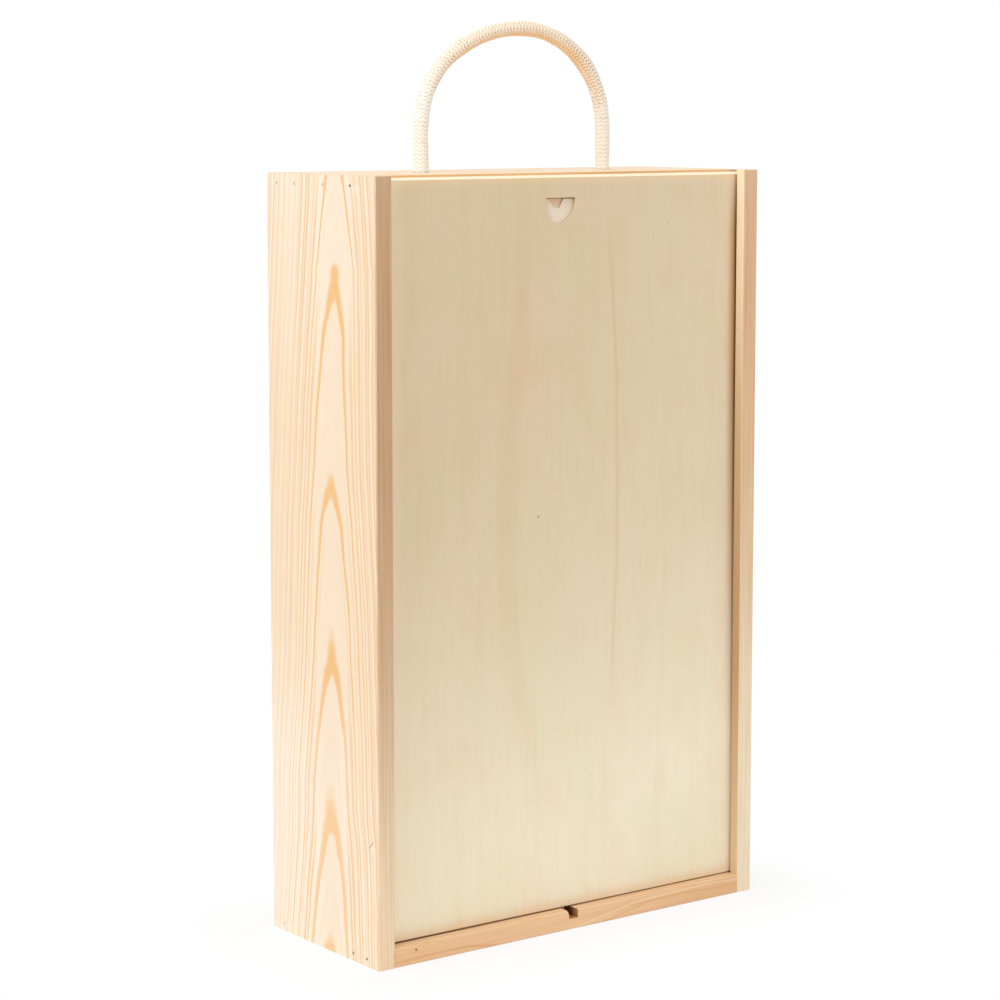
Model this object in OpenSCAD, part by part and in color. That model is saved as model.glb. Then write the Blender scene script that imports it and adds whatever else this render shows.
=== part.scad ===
// Two-bottle wine box: four nailed pine boards, a plywood lid that slides up
// in grooves, a rebated plywood back, a divider and a knotted rope handle.
// The origin is on the ground, under the middle of the box. The front faces -Y.

/* [Box] */
// Height of the box, without its rope
box_h = 360; // [340:1:420]
// Width of the box
box_w = 225; // [210:1:280]
// Depth of the box, from front to back
box_d = 90; // [86:1:120]
// Thickness of the pine boards
board_t = 9; // [8:0.5:12]
// Bevel on the long outer edges of the boards
edge_bevel = 0.5; // [0.2:0.1:1.5]

/* [Lid] */
// Thickness of the lid
lid_t = 4; // [3:0.5:5]
// Wood left in front of the lid's groove
groove_lip = 5; // [4:0.5:9]
// Depth of the lid's groove into the side boards
groove_depth = 4; // [3:0.5:5]
// Clearance in front of the lid in its groove
lid_front_gap = 1.5; // [0.2:0.1:2]
// Clearance behind the lid in its groove
lid_back_gap = 0.3; // [0.2:0.1:0.8]
// Clearance between each side of the lid and the bottom of its groove
lid_side_gap = 0.5; // [0.3:0.1:1]
// Clearance between the bottom board and the foot of the closed lid
lid_foot_gap = 0.6; // [0.3:0.1:1]
// Distance from the top of the box down to the top of the closed lid
lid_top_drop = 1; // [0:0.5:4]
// Bevel on the lid's two long front edges
lid_bevel = 0.3; // [0.1:0.1:0.8]
// Bevel on the lid's upper front edge
lid_top_bevel = 1.2; // [0.4:0.1:1.5]

/* [Finger pull] */
// Width of the half-moon at its straight upper edge
pull_w = 17; // [12:0.5:26]
// Height of the half-moon, which is also the radius of its right side
pull_h = 12; // [9:0.5:20]
// Radius of its left side
pull_left_r = 17; // [14:0.5:40]
// Distance of its straight edge from the top of the lid
pull_drop = 10.5; // [8:0.5:40]
// Distance of its middle from the middle of the lid
pull_shift = -4; // [-20:0.5:20]
// Depth of the half-moon at its upper edge
pull_depth = 1.9; // [1.4:0.1:2.4]
// Depth of the half-moon at its lower end
pull_tip_depth = 0.7; // [0.3:0.1:1.2]
// Height of the nick that the chisel leaves along the upper edge
nick_h = 0.6; // [0.3:0.1:1]
// Depth of the nick
nick_depth = 2.8; // [2.5:0.1:3]
// Width of the second, deeper cut at the upper edge
scoop_w = 9.6; // [6:0.2:11]
// Width of the second cut at its lower end
scoop_tip_w = 3; // [1:0.5:5]
// Height of the second cut
scoop_h = 4.8; // [4:0.2:8]
// Depth of the second cut
scoop_depth = 3; // [2.5:0.1:3.2]
// Distance of its middle from the middle of the half-moon
scoop_shift = -1.5; // [-2:0.5:2]

/* [Back panel] */
// Thickness of the back panel
back_t = 4; // [3:0.5:5]
// Width of the rebate in each side board that the back panel lies in
rebate_w = 4.5; // [3:0.5:6]
// Clearance between the back panel's edges and the rebates
back_gap = 0.2; // [0.1:0.1:0.6]

/* [Divider] */
// Thickness of the divider
divider_t = 5; // [3:0.5:6]
// Depth of the slots that hold the divider
slot_depth = 4; // [3:0.5:5]
// Clearance on each face of the divider in its slots
slot_gap = 0.4; // [0.2:0.1:0.8]
// Clearance over the divider in the upper slot
divider_top_gap = 0.4; // [0.2:0.1:1]
// Width of the splinter broken off beside the open end of the lower slot
chip_w = 0.8; // [0.5:0.1:3]
// How far back the broken place runs
chip_run = 2.5; // [1:0.5:4]
// Depth of the broken place
chip_depth = 2; // [1:0.5:4]

/* [Rope] */
// Diameter of the rope
rope_d = 7; // [6:0.1:7.4]
// Clearance around the rope in its holes
rope_gap = 0.5; // [0.3:0.1:1]
// Gap between the swinging rope and the top board
swing_gap = 0.3; // [0.2:0.1:1]
// Distance from the middle of a knot to the rope wound in it
knot_r = 4.7; // [4.6:0.1:6]
// Height of one whole turn in a knot
knot_pitch = 19; // [18.5:0.5:24]
// Length of the cut end below a knot
knot_tail = 8; // [5:1:14]

/* [Brads] */
// Diameter of the brads' shanks
brad_d = 1.1; // [0.9:0.1:1.4]
// Length of the brads
brad_l = 25; // [20:1:30]
// Diameter of the brads' heads
brad_head_d = 1.6; // [1.5:0.1:2.2]
// Thickness of the brads' heads
brad_head_t = 0.8; // [0.5:0.1:1.2]
// Depth that the brads are driven below the wood
brad_set = 0.4; // [0.2:0.1:1]
// How much tighter than a brad or pin its hole in the wood is
nail_grip = 0.1; // [0.05:0.05:0.2]
// Height of the lower brads above the ground
brad_low = 3.5; // [3:0.5:4]
// Distances from the front of the upper brads in the front half
upper_front = [20, 42];
// Distances from the back of the upper brads in the back half
upper_back = [24, 9];
// Distances from the front of the lower brads in the front half
lower_front = [10, 21, 38];
// Distances from the back of the lower brads in the back half
lower_back = [10];

/* [Back pins] */
// Diameter of the pins in the back panel
pin_d = 1.2; // [1:0.1:1.4]
// Length of the pins in the back panel
pin_l = 14; // [10:1:20]
// Distance of the pins in the end boards from the middle
pin_x = 45; // [30:1:70]
// Distance between the pins up each side board
pin_step = 120; // [80:5:150]

/* [Hidden] */

// How far a cutting shape runs past the face that it cuts.
over = 1;
$fn = 48;

front_y = -box_d / 2;
back_y = box_d / 2 - back_t;
inner_x = box_w / 2 - board_t;
groove_w = lid_front_gap + lid_t + lid_back_gap;
groove_y = front_y + groove_lip;
// The top board and the divider start behind the groove, so the lid runs past them.
behind_lid_y = groove_y + groove_w;

lid_w = 2 * (inner_x + groove_depth - lid_side_gap);
lid_z = board_t + lid_foot_gap;
lid_y = groove_y + lid_front_gap;
lid_top_z = box_h - lid_top_drop;
pull_top_z = lid_top_z - pull_drop;

slot_w = divider_t + 2 * slot_gap;
slot_floor_z = board_t - slot_depth;
slot_roof_z = box_h - board_t + slot_depth;

brads_upper = places(upper_front, upper_back);
brads_lower = places(lower_front, lower_back);

// Route of the rope's arch: sideways, and up from the axis that it swings about.
rope_route = [
  [-54, 0], [-54, 8], [-54, 16], [-53, 25.5], [-50, 34.5], [-45, 42.5], [-38.5, 49],
  [-30.5, 54.5], [-22, 58.5], [-13, 61.5], [-4, 63], [6, 63.5], [15, 62.5], [23.5, 60],
  [31, 56.5], [38, 51.5], [43.5, 46], [48, 39.5], [51.5, 31.5], [53.5, 23], [54, 14], [54, 7], [54, 0]
];
rope_sides = 12;
left_hole_x = rope_route[0][0];
right_hole_x = rope_route[len(rope_route) - 1][0];
hole_y = (behind_lid_y + back_y) / 2;
hole_d = rope_d + 2 * rope_gap;
swing_z = box_h + rope_d / 2 + swing_gap;
// The arch ends in half balls about its axis, so that it turns over the holes.
ball_angles = [75, 50, 25];

// A knot's two wound strands each make one and a half turns, in steps of 60 degrees.
strand_steps = 9;
strand_step = 60;
strand_top = -6;
strand_h = knot_pitch * strand_steps * strand_step / 360;
knot_sides = 8;
knot_cuts = 2;
// The loop outside the strands, from the foot of the first to the head of the second.
loop_low = [[-7, -5.5, -3.5], [-12, -7.5, -1], [-14.5, -4, 5]];
loop_high = [[-14.5, 0, -20], [-14.5, 4, -11], [-12, 7.5, -5], [-7, 5.5, -2.5]];

// Vectors and lists

// Places in Y, from distances measured from the front and from the back of the box.
function places(from_front, from_back) = concat(
  [for (distance = from_front) front_y + distance],
  [for (distance = from_back) box_d / 2 - distance]
);

function unit(v) = v / norm(v);

// One directed step along the route at each of its points.
function directions(route) = [
  for (i = [0 : len(route) - 1])
    unit(route[min(i + 1, len(route) - 1)] - route[max(i - 1, 0)])
];

// The first side vector, carried along the route without twisting.
function carried(ways, side, i = 0) =
  i == len(ways) ? [] :
  let (here = unit(side - (side * ways[i]) * ways[i]))
  concat([here], carried(ways, here, i + 1));

// A point on the smooth curve between b and c, where a and d are their neighbours.
function between(a, b, c, d, t) =
  0.5 * (2 * b + (c - a) * t + (2 * a - 5 * b + 4 * c - d) * t * t
    + (3 * b - a - 3 * c + d) * t * t * t);

// The route with each stretch divided into so many cuts along a smooth curve.
function smooth(route, cuts) =
  let (last = len(route) - 1)
  concat(
    [for (i = [0 : last - 1], k = [0 : cuts - 1])
      between(route[max(i - 1, 0)], route[i], route[i + 1], route[min(i + 2, last)], k / cuts)],
    [route[last]]
  );

// The least gap between parts of a rope that lie more than two diameters apart along it.
function least_gap(route, far) = min([
  for (i = [0 : len(route) - 1], j = [i + far : 1 : len(route) - 1]) norm(route[i] - route[j])
]) - rope_d;

// A closed tube of triangles along the route, with a radius at each of its points.
module tube(route, radii, sides, side) {
  ways = directions(route);
  across = carried(ways, side);
  last = len(route) - 1;
  points = [
    for (i = [0 : last], k = [0 : sides - 1])
      let (a = 360 * k / sides, up = cross(ways[i], across[i]))
      route[i] + radii[i] * (cos(a) * across[i] + sin(a) * up)
  ];
  walls = [
    for (i = [0 : last - 1], k = [0 : sides - 1])
      let (a = i * sides + k, b = i * sides + (k + 1) % sides)
      each [[a, a + sides, b + sides], [a, b + sides, b]]
  ];
  starts = [for (k = [1 : sides - 2]) [0, k, k + 1]];
  finish = last * sides;
  ends = [for (k = [1 : sides - 2]) [finish, finish + k + 1, finish + k]];
  polyhedron(points, concat(walls, starts, ends));
}

// Shapes that the boards share

// A solid with its outline in Y and Z, running along X between the side boards.
module between_sides() {
  translate([-inner_x, 0, 0])
    rotate([90, 0, 90])
      linear_extrude(2 * inner_x)
        children();
}

// A brad along +X, with its head's outer face set below the wood at x = 0.
module brad(thinner = 0) {
  translate([brad_set, 0, 0])
    rotate([0, 90, 0]) {
      cylinder(h = brad_head_t, d = brad_head_d - thinner);
      cylinder(h = brad_l, d = brad_d - thinner);
    }
}

// The brads of one joint at the left, at the given places in Y.
module brad_row(rows, z, thinner = 0) {
  for (y = rows)
    translate([-box_w / 2, y, z])
      brad(thinner);
}

// The hole over each brad's head, down to where the head stops.
module brad_pits(rows, z) {
  for (y = rows)
    translate([-box_w / 2 - over, y, z])
      rotate([0, 90, 0])
        cylinder(h = over + brad_set, d = brad_head_d - nail_grip);
}

module upper_brads(thinner = 0) {
  brad_row(brads_upper, box_h - board_t / 2, thinner);
}

module lower_brads(thinner = 0) {
  brad_row(brads_lower, brad_low, thinner);
}

// All pins of the back panel, driven forwards from its back face.
module pins(thinner = 0) {
  side_x = inner_x + rebate_w / 2;
  heights = [for (k = [-1 : 1]) box_h / 2 + k * pin_step];
  end_heights = [board_t / 2, box_h - board_t / 2];
  spots = concat(
    [for (x = [-side_x, side_x], z = heights) [x, z]],
    [for (x = [-pin_x, pin_x], z = end_heights) [x, z]]
  );
  for (spot = spots)
    translate([spot[0], box_d / 2, spot[1]])
      rotate([90, 0, 0])
        cylinder(h = pin_l, d = pin_d - thinner);
}

// Every nail in the left half's side board, as holes a little tighter than the nails.
module left_nail_holes() {
  upper_brads(nail_grip);
  lower_brads(nail_grip);
  brad_pits(brads_upper, box_h - board_t / 2);
  brad_pits(brads_lower, brad_low);
  pins(nail_grip);
}

// The left side board: front and outer edges bevelled, grooved for the lid, rebated for the back.
module side_board() {
  half_d = box_d / 2;
  outer_x = -box_w / 2;
  difference() {
    linear_extrude(box_h)
      difference() {
        polygon([
          [outer_x + edge_bevel, -half_d], [-inner_x - edge_bevel, -half_d],
          [-inner_x, -half_d + edge_bevel], [-inner_x, half_d],
          [outer_x + edge_bevel, half_d], [outer_x, half_d - edge_bevel],
          [outer_x, -half_d + edge_bevel]
        ]);
        translate([-inner_x - groove_depth, groove_y])
          square([groove_depth + over, groove_w]);
        translate([-inner_x - rebate_w, back_y])
          square([rebate_w + over, back_t + over]);
      }
    left_nail_holes();
  }
}

// The half-moon pull seen from the front, with the middle of its straight edge at the origin.
module pull_outline() {
  intersection() {
    translate([pull_left_r - pull_w / 2, 0])
      circle(pull_left_r);
    translate([pull_w / 2 - pull_h, 0])
      circle(pull_h);
    translate([-pull_w, -2 * pull_h])
      square([2 * pull_w, 2 * pull_h]);
  }
}

// An outline seen from the front, as a solid that runs right through the lid.
module through_lid() {
  rotate([90, 0, 0])
    linear_extrude(4 * lid_t, center = true)
      children();
}

// All that lies in front of a floor, which slopes from one depth to another h lower down.
module before_floor(h, depth, tip_depth) {
  slope = atan((depth - tip_depth) / h);
  reach = 4 * lid_t;
  translate([0, depth, 0])
    rotate([-slope, 0, 0])
      translate([-pull_w, -reach, -2 * pull_h])
        cube([2 * pull_w, reach, 2 * pull_h]);
}

// The first, shallow cut of the finger pull, with the chisel's nick along its upper edge.
module half_moon() {
  intersection() {
    through_lid()
      pull_outline();
    union() {
      before_floor(pull_h, pull_depth, pull_tip_depth);
      translate([-pull_w, -lid_t, -nick_h])
        cube([2 * pull_w, lid_t + nick_depth, nick_h]);
    }
  }
}

// The second, deeper cut, inside the first one.
module scoop() {
  half_w = scoop_w / 2;
  half_tip = scoop_tip_w / 2;
  intersection() {
    through_lid()
      intersection() {
        pull_outline();
        translate([scoop_shift, 0])
          polygon([[-half_w, 0], [half_w, 0], [half_tip, -scoop_h], [-half_tip, -scoop_h]]);
      }
    before_floor(scoop_h, scoop_depth, pull_depth);
  }
}

// Pieces

module left_side() {
  color([0.94, 0.82, 0.66])
    side_board();
}

module right_side() {
  color([0.94, 0.82, 0.66])
    mirror([1, 0, 0])
      side_board();
}

module top_end() {
  color([0.92, 0.79, 0.62])
    difference() {
      between_sides()
        translate([behind_lid_y, box_h - board_t])
          square([back_y - behind_lid_y, board_t]);
      translate([-slot_w / 2, behind_lid_y - over, box_h - board_t - over])
        cube([slot_w, back_y - behind_lid_y + 2 * over, slot_depth + over]);
      for (x = [left_hole_x, right_hole_x])
        translate([x, hole_y, box_h - board_t - over])
          cylinder(h = board_t + 2 * over, d = hole_d);
      upper_brads(nail_grip);
      mirror([1, 0, 0])
        upper_brads(nail_grip);
      pins(nail_grip);
    }
}

// A right-angled corner w wide and d deep, grown past its two square sides.
module corner(w, d) {
  polygon([[-w * (1 + over / d), -over], [over, -over], [over, d * (1 + over / w)]]);
}

// The splinter's place: a wedge at the left of the lower slot's open end.
module chip() {
  translate([-slot_w / 2, front_y, board_t])
    intersection() {
      translate([0, 0, -chip_depth])
        linear_extrude(chip_depth + over)
          corner(chip_w, chip_run);
      translate([0, -over, 0])
        rotate([-90, 0, 0])
          linear_extrude(chip_run + 2 * over)
            corner(chip_w, chip_depth);
    }
}

module bottom_end() {
  color([0.92, 0.79, 0.62])
    difference() {
      between_sides()
        polygon([
          [front_y + edge_bevel, 0], [back_y, 0], [back_y, board_t],
          [front_y + edge_bevel, board_t], [front_y, board_t - edge_bevel],
          [front_y, edge_bevel]
        ]);
      translate([-slot_w / 2, front_y - over, slot_floor_z])
        cube([slot_w, box_d + 2 * over, slot_depth + over]);
      chip();
      lower_brads(nail_grip);
      mirror([1, 0, 0])
        lower_brads(nail_grip);
      pins(nail_grip);
    }
}

module back_panel() {
  panel_w = 2 * (inner_x + rebate_w - back_gap);
  color([0.88, 0.80, 0.67])
    difference() {
      translate([-panel_w / 2, back_y, 0])
        cube([panel_w, back_t, box_h]);
      pins(nail_grip);
    }
}

module divider() {
  color([0.88, 0.80, 0.67])
    translate([-divider_t / 2, behind_lid_y, slot_floor_z])
      cube([divider_t, back_y - behind_lid_y, slot_roof_z - divider_top_gap - slot_floor_z]);
}

module lid() {
  color([0.86, 0.78, 0.65])
    difference() {
      translate([0, lid_y, lid_z])
        linear_extrude(lid_top_z - lid_z)
          polygon([
            [-lid_w / 2 + lid_bevel, 0], [lid_w / 2 - lid_bevel, 0], [lid_w / 2, lid_bevel],
            [lid_w / 2, lid_t], [-lid_w / 2, lid_t], [-lid_w / 2, lid_bevel]
          ]);
      translate([0, lid_y, lid_top_z - lid_top_bevel])
        rotate([45, 0, 0])
          translate([-lid_w, -lid_t, 0])
            cube([2 * lid_w, 2 * lid_t, lid_t]);
      translate([pull_shift, lid_y, pull_top_z]) {
        half_moon();
        scoop();
      }
    }
}

// The free arch of the rope, which swings about the line through the tops of its holes.
module rope_handle() {
  rope_r = rope_d / 2;
  arch = [for (p = rope_route) [p[0], hole_y, swing_z + p[1]]];
  starts = [for (a = ball_angles) arch[0] - [0, 0, rope_r * sin(a)]];
  finishes = [
    for (k = [len(ball_angles) - 1 : -1 : 0])
      arch[len(arch) - 1] - [0, 0, rope_r * sin(ball_angles[k])]
  ];
  small = [for (a = ball_angles) rope_r * cos(a)];
  large = [for (p = rope_route) rope_r];
  back = [for (k = [len(small) - 1 : -1 : 0]) small[k]];
  color([0.96, 0.94, 0.88])
    tube(concat(starts, arch, finishes), concat(small, large, back), rope_sides, [0, 1, 0]);
}

// One strand of a knot, wound down around the knot's middle from the given side.
function strand(side) = [
  for (k = [0 : strand_steps])
    [
      side * knot_r * cos(k * strand_step), side * knot_r * sin(k * strand_step),
      strand_top - strand_h * k / strand_steps
    ]
];

// The whole end of the rope: down through its hole, round the overhand knot, and the tail.
function knot_route() =
  let (foot = strand_top - strand_h)
  smooth(
    concat(
      [[knot_r, 0, board_t], [knot_r, 0, board_t / 2], [knot_r, 0, 0]],
      strand(1),
      [for (p = loop_low) p + [0, 0, foot]],
      loop_high,
      strand(-1),
      [[knot_r, 1, foot - knot_tail * 0.6], [knot_r, 1, foot - knot_tail]]
    ),
    knot_cuts
  );

echo(str("least gap of a knot to itself: ", least_gap(knot_route(), 6), " mm"));

// A knotted end, with its first point at the mouth of the hole on top of the board.
module knotted_end() {
  route = knot_route();
  translate([-knot_r, 0, -board_t])
    tube(route, [for (p = route) rope_d / 2], knot_sides, [0, 1, 0]);
}

module rope_knot_left() {
  color([0.96, 0.94, 0.88])
    translate([left_hole_x, hole_y, box_h])
      knotted_end();
}

module rope_knot_right() {
  color([0.96, 0.94, 0.88])
    translate([right_hole_x, hole_y, box_h])
      rotate([0, 0, 180])
        knotted_end();
}

module brads_top_left() {
  color("silver")
    upper_brads();
}

module brads_top_right() {
  color("silver")
    mirror([1, 0, 0])
      upper_brads();
}

module brads_bottom_left() {
  color("silver")
    lower_brads();
}

module brads_bottom_right() {
  color("silver")
    mirror([1, 0, 0])
      lower_brads();
}

module back_pins() {
  color("silver")
    pins();
}

left_side();
right_side();
top_end();
bottom_end();
back_panel();
divider();
lid();
rope_handle();
rope_knot_left();
rope_knot_right();
brads_top_left();
brads_top_right();
brads_bottom_left();
brads_bottom_right();
back_pins();
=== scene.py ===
# %% [markdown]
# A wooden wine box with a sliding lid and a rope handle
#
# The box is nailed together from four pine boards. A plywood lid slides up in
# grooves near the front, and a knotted cotton rope makes the handle. The rigid
# pieces come ready from the frame, so this lesson gives them their finishes,
# and it makes the rope, which is soft, from mesh code. Blender counts in metres,
# and MM is one millimetre.

# %% Open the frame
import bpy
import bmesh
import math
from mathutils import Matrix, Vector


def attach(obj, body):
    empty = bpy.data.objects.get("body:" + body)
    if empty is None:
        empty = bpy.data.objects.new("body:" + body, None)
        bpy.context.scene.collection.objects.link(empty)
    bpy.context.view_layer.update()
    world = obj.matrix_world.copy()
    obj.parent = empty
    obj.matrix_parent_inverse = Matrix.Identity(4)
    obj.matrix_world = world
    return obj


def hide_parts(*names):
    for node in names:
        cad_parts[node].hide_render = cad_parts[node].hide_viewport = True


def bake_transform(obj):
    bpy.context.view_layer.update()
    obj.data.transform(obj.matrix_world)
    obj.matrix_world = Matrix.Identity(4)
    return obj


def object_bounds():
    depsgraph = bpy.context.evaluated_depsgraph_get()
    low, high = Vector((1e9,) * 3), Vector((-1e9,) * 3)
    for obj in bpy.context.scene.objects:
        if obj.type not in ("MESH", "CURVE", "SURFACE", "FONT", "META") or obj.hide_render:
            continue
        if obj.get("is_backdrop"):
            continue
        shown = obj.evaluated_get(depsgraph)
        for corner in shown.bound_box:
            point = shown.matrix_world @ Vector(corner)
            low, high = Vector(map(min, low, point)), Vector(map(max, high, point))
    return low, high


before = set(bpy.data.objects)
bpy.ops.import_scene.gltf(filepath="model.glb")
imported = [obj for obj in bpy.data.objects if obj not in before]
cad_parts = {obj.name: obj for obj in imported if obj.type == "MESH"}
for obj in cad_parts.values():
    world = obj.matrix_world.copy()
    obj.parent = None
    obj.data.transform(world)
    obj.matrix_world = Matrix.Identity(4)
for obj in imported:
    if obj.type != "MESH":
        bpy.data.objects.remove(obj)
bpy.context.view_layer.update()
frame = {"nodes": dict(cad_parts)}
nodes = frame["nodes"]
MM = 0.001
print("pieces in the frame:", ", ".join(sorted(nodes)))

# %% [markdown]
# The camera
#
# A product photograph of a box is taken with a long lens from a few steps away,
# so that its edges stay nearly parallel. The place and the direction of this
# camera were worked out from the corners of the box in the photograph. A small
# lens shift keeps the upright edges straighter than tilting alone would.

# %% Camera
camera_data = bpy.data.cameras.new("camera")
camera_data.lens = 100.2
camera_data.sensor_width = 36
camera_data.shift_y = -0.065
camera = bpy.data.objects.new("camera", camera_data)
camera.location = (-0.8005, -1.0628, 0.3905)
turn, tilt = math.radians(36.62), math.radians(6.73)
camera.rotation_euler = (math.pi / 2 - tilt, 0, -turn)
bpy.context.scene.collection.objects.link(camera)
bpy.context.scene.camera = camera
bpy.context.scene.view_settings.view_transform = "Standard"
print("camera is", round(camera.location.length, 3), "m from the foot of the box")

# %% [markdown]
# Shader maths in plain Python
#
# A material in Blender is a net of small boxes. To write one as a sum, such as
# 1 - mask, each socket is wrapped in a Value, whose + - * / add the Math boxes.
# Everything else comes from one method, Net.node, which takes the kind of box,
# its settings and what goes into its sockets. A Finish is the net of a material.

# %% Values, nets and finishes
class Value:
    """One number in a net, which can be added and multiplied like any number."""

    def __init__(self, net, socket):
        self.net = net
        self.socket = socket

    def _math(self, operation, first, second):
        return self.net.node("ShaderNodeMath", {"operation": operation}, {0: first, 1: second})

    def __add__(self, other):
        return self._math("ADD", self, other)

    __radd__ = __add__

    def __sub__(self, other):
        return self._math("SUBTRACT", self, other)

    def __rsub__(self, other):
        return self._math("SUBTRACT", other, self)

    def __mul__(self, other):
        return self._math("MULTIPLY", self, other)

    __rmul__ = __mul__

    def __truediv__(self, other):
        return self._math("DIVIDE", self, other)


class Net:
    """A tree of shader boxes, with one method that adds any box."""

    def __init__(self, tree):
        self.tree = tree

    def node(self, kind, settings=None, sockets=None, output=0):
        """Adds a box and gives one of its outputs. "stops" are points of a colour ramp."""
        box = self.tree.nodes.new(kind)
        for key, setting in (settings or {}).items():
            if key == "stops":
                ramp = box.color_ramp
                ramp.interpolation = "CARDINAL"
                while len(ramp.elements) < len(setting):
                    ramp.elements.new(1.0)
                for element, (place, level) in zip(ramp.elements, setting):
                    element.position = place
                    element.color = (level, level, level, 1)
            else:
                setattr(box, key, setting)
        for key, value in (sockets or {}).items():
            self.put(value, box.inputs[key])
        return Value(self, box.outputs[output])

    def put(self, value, socket):
        """Links a Value to a socket, or writes a plain number or colour on it."""
        if isinstance(value, Value):
            self.tree.links.new(value.socket, socket)
        else:
            socket.default_value = value


class Finish(Net):
    """A material under construction, with a Principled shader at its end."""

    def __init__(self, name, roughness, specular):
        self.material = bpy.data.materials.new(name)
        self.material.use_nodes = True
        super().__init__(self.material.node_tree)
        self.shader = self.tree.nodes["Principled BSDF"]
        self.shader.inputs["Specular IOR Level"].default_value = specular
        self.shader.inputs["Roughness"].default_value = roughness

    def mix(self, factor, first, second, blend="MIX"):
        """Colours mixed by a factor: 6 and 7 are the two colours' sockets."""
        first = first if isinstance(first, Value) else (*first, 1)
        second = second if isinstance(second, Value) else (*second, 1)
        return self.node(
            "ShaderNodeMix", {"data_type": "RGBA", "blend_type": blend},
            {0: factor, 6: first, 7: second}, output=2)

    def step(self, value, low, high):
        """0 below low and 1 above high, with a soft change between them."""
        return self.node(
            "ShaderNodeMapRange", {"interpolation_type": "SMOOTHSTEP", "clamp": True},
            {"Value": value, "From Min": low, "From Max": high, "To Min": 0.0, "To Max": 1.0})

    def follow(self, value, stops):
        """A smooth line through (place, level) stops, as along a board."""
        places = [p for p, _ in stops]
        levels = [v for _, v in stops]
        start, length = places[0], places[-1] - places[0]
        low, span = min(levels), max(levels) - min(levels)
        ramp = [((p - start) / length, (v - low) / span) for p, v in stops]
        share = (value - start) / length
        return self.node("ShaderNodeValToRGB", {"stops": ramp}, {0: share}) * span + low

    def place(self):
        """The three coordinates of a point of the piece, in millimetres."""
        where = self.node("ShaderNodeTexCoord", output="Object")
        parts = [
            self.node("ShaderNodeSeparateXYZ", None, {0: where}, output=k) for k in range(3)]
        return [part / MM for part in parts]

    def facing(self):
        """How far the surface faces along X, Y and Z, as numbers from 0 to 1."""
        normal = self.node("ShaderNodeNewGeometry", output="Normal")
        return [
            self.size(self.node("ShaderNodeSeparateXYZ", None, {0: normal}, output=k))
            for k in range(3)]

    def noise(self, x, y, z, detail=2.0):
        """Cloudy noise about 0, from about -0.5 to 0.5. Each cloud is about 1 across."""
        at = self.node("ShaderNodeCombineXYZ", None, {0: x, 1: y, 2: z})
        return self.node(
            "ShaderNodeTexNoise", {"noise_dimensions": "3D"},
            {"Vector": at, "Scale": 1.0, "Detail": detail}) - 0.5

    def random(self, number):
        """A number from 0 to 1 that is the same for the same whole number."""
        return self.node("ShaderNodeTexWhiteNoise", {"noise_dimensions": "1D"}, {"W": number})

    def floor(self, value):
        return self.node("ShaderNodeMath", {"operation": "FLOOR"}, {0: value})

    def root(self, value):
        return self.node("ShaderNodeMath", {"operation": "SQRT"}, {0: value})

    def size(self, value):
        return self.node("ShaderNodeMath", {"operation": "ABSOLUTE"}, {0: value})

    def most(self, first, second):
        return self.node("ShaderNodeMath", {"operation": "MAXIMUM"}, {0: first, 1: second})

    def within(self, value, low, high, soft=0.1):
        """1 where the value lies between low and high, and 0 elsewhere."""
        return self.step(value, low - soft, low) * (1 - self.step(value, high, high + soft))

    def spot(self, a, b, middle, radius):
        """1 in a small soft disc of the plane of a and b, and 0 elsewhere."""
        a, b = a - middle[0], b - middle[1]
        return 1 - self.step(self.root(a * a + b * b), 0.5 * radius, radius)

    def colour(self, colour):
        """Gives the finish its colour, plain or mixed."""
        self.put(colour, self.shader.inputs["Base Color"])

    def bump(self, height, distance, strength):
        """Roughens the finish by a height of 0 to 1, which stands for a distance in metres."""
        box = self.node(
            "ShaderNodeBump", None,
            {"Height": height, "Distance": distance, "Strength": strength})
        self.put(box, self.shader.inputs["Normal"])


def sRGB(red, green, blue):
    """A colour picked on a screen, as the linear light that a shader works in."""
    def light(level):
        level = level / 255
        return level / 12.92 if level <= 0.04045 else ((level + 0.055) / 1.055) ** 2.4
    return light(red), light(green), light(blue)


def dress(finish, *names):
    """Gives the pieces of these names this finish and no other."""
    for name in names:
        nodes[name].data.materials.clear()
        nodes[name].data.materials.append(finish.material)


print("a mid grey of 128 is", round(sRGB(128, 128, 128)[0], 3), "in linear light")

# %% [markdown]
# The floor, the room and the lamps
#
# The floor is a pale disc. It is plain matt white, so that it carries the
# shadow of the box, and away from the box the camera sees it as white as the
# room behind. The light of a photo studio comes from large soft boxes: one
# hangs overhead, one stands at the left, and a weak one fills the front. Half
# the width and depth of the box, in millimetres, are read off the outer corner
# of its left board.

# %% Floor
FLOOR_R = 4.0
WHITE = (1, 1, 1, 1)
HALF_W, HALF_D = [round(-side / MM, 1) for side in nodes["left_side"].bound_box[0][:2]]
SHADOW_REACH, WHITE_AT_FOOT = 60, 0.82
bm = bmesh.new()
bmesh.ops.create_circle(bm, cap_ends=True, segments=96, radius=FLOOR_R)
floor_mesh = bpy.data.meshes.new("floor")
bm.to_mesh(floor_mesh)
bm.free()
floor = bpy.data.objects.new("floor", floor_mesh)
bpy.context.scene.collection.objects.link(floor)
floor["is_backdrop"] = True

paper = Finish("paper", roughness=0.95, specular=0.0)
px, py, _ = paper.place()
off_x = paper.most(paper.size(px) - HALF_W, 0.0)
off_y = paper.most(paper.size(py) - HALF_D, 0.0)
away = paper.root(off_x * off_x + off_y * off_y)
seen = paper.node("ShaderNodeLightPath", output="Is Camera Ray")
shine = paper.node("ShaderNodeLightPath", output="Is Glossy Ray")
blank = paper.node("ShaderNodeEmission", None, {"Color": WHITE, "Strength": 1.0})
paper.colour((0.9, 0.9, 0.9, 1))
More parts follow.
